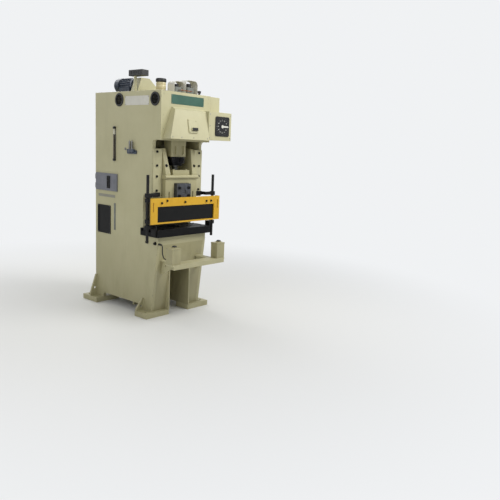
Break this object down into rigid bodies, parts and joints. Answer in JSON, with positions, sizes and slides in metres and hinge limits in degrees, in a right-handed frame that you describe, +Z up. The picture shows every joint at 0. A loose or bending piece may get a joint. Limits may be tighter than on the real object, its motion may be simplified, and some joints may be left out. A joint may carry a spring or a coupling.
{
  "type": "mechanical stamping press",
  "caption": "Gap-frame mechanical stamping press with a crank-driven slide over a slotted bolster, yellow swing gate and two-hand buttons.",
  "frame": {"origin": "on the floor, at the centre of the four anchor holes", "axes": "+Z up; -Y is the operator's side; +X is to the right, seen from the operator's side"},
  "size_m": [0.9665, 1.327, 2.324],
  "materials": {
    "body_paint": "satin",
    "dark_steel": "oiled",
    "black_steel": "satin",
    "bright_steel": "ground",
    "black_bolt": "black oxide",
    "bronze": "worn",
    "flywheel_iron": "painted rim",
    "clutch_metal": "machined",
    "belt_rubber": "matte",
    "cable_rubber": "matte",
    "motor_paint": "satin",
    "black_plastic": "matte",
    "white_paint": "satin",
    "plates": "satin",
    "sight_tube": "oil stained",
    "grey_metal": "satin",
    "window_frame": "satin",
    "reservoir": "smooth",
    "guard_yellow": "gloss",
    "dark_pane": "clear smoked",
    "button_black": "gloss"
  },
  "bodies": {
    "frame": {"side_plate_left": "body_paint", "side_plate_right": "body_paint", "crown_plates": "body_paint", "back_web": "body_paint", "rear_web": "body_paint", "bed_plates": "body_paint", "foot_pads": "body_paint", "rear_cover": "body_paint", "bolster": "dark_steel", "bolster_bolts": "black_bolt", "guide_left": "body_paint", "guide_right": "body_paint", "guide_liners": "bronze", "guide_bolts": "black_bolt", "main_bushes": "bronze", "drive_belts": "belt_rubber", "motor_body": "motor_paint", "fan_cowl": "motor_paint", "motor_base": "body_paint", "belt_guard": "body_paint", "terminal_box": "black_plastic", "crown_cover": "body_paint", "cover_hatch": "body_paint", "dial_box": "body_paint", "dial_plate": "black_plastic", "side_box": "body_paint", "side_vents": "black_plastic", "blank_plates": "plates", "oil_gauge": "sight_tube", "hand_pump": "grey_metal", "door_hinges": "bright_steel", "service_window": "window_frame", "oil_reservoir": "reservoir", "valve_hoods": "white_paint", "air_valves": "black_plastic", "guard_posts": "black_steel", "guard_arms": "black_steel", "control_shelf": "body_paint", "button_boxes": "body_paint", "button_cable": "cable_rubber"},
    "slide": {"slide": "body_paint", "shank_clamp": "bright_steel", "shank_bolts": "bright_steel", "ball_cap": "body_paint"},
    "crank": {"crankshaft": "bright_steel", "clutch_brake": "clutch_metal"},
    "rod": {"connecting_rod": "body_paint", "rod_bush": "bronze", "ball_screw": "bright_steel", "lock_nut": "black_steel"},
    "flywheel": {"flywheel": "flywheel_iron"},
    "motor_shaft": {"motor_pulley": "bright_steel"},
    "pointer": {"dial_pointer": "white_paint"},
    "gate": {"guard_gate": "guard_yellow", "gate_window": "dark_pane", "gate_bolts": "black_bolt"},
    "left_button": {"palm_left": "button_black"},
    "right_button": {"palm_right": "button_black"},
    "door": {"service_door": "grey_metal", "door_handle": "black_steel"}
  },
  "joints": [
    {"name": "slide_travel", "type": "slide", "parent": "frame", "child": "slide", "axis": [0, 0, -1], "range_m": [0, 0.06]},
    {"name": "crank_turn", "type": "hinge", "parent": "frame", "child": "crank", "pos_m": [0, -0.43, 1.88], "axis": [0, 1, 0], "range_deg": [0, 180]},
    {"name": "rod_pivot", "type": "hinge", "parent": "crank", "child": "rod", "pos_m": [0, -0.43, 1.91], "axis": [0, 1, 0], "range_deg": [-180, 0]},
    {"name": "flywheel_spin", "type": "hinge", "parent": "frame", "child": "flywheel", "pos_m": [0, -0.045, 1.88], "axis": [0, 1, 0], "continuous": true},
    {"name": "motor_spin", "type": "hinge", "parent": "frame", "child": "motor_shaft", "pos_m": [-0.1, -0.045, 2.204], "axis": [0, 1, 0], "continuous": true},
    {"name": "pointer_turn", "type": "hinge", "parent": "frame", "child": "pointer", "pos_m": [0.38969, -0.68, 1.837], "axis": [0, 1, 0], "range_deg": [0, 180]},
    {"name": "gate_swing", "type": "hinge", "parent": "frame", "child": "gate", "pos_m": [-0.42, -0.54, 1.037], "axis": [0, 0, -1], "range_deg": [0, 100]},
    {"name": "left_press", "type": "slide", "parent": "frame", "child": "left_button", "axis": [0, 0, -1], "range_m": [0, 0.005], "stiffness_N_per_m": 600, "springref_m": -0.005},
    {"name": "right_press", "type": "slide", "parent": "frame", "child": "right_button", "axis": [0, 0, -1], "range_m": [0, 0.005], "stiffness_N_per_m": 600, "springref_m": -0.005},
    {"name": "door_swing", "type": "hinge", "parent": "frame", "child": "door", "pos_m": [-0.3205, 0.406, 1.248], "axis": [0, 0, -1], "range_deg": [0, 110]}
  ],
  "couplings": [
    {"joint": "crank_turn", "follows": "slide_travel", "rad_per_m": 52.36},
    {"joint": "rod_pivot", "follows": "slide_travel", "rad_per_m": -52.36},
    {"joint": "pointer_turn", "follows": "slide_travel", "rad_per_m": 52.36},
    {"joint": "motor_spin", "follows": "flywheel_spin", "ratio": 5.475}
  ]
}
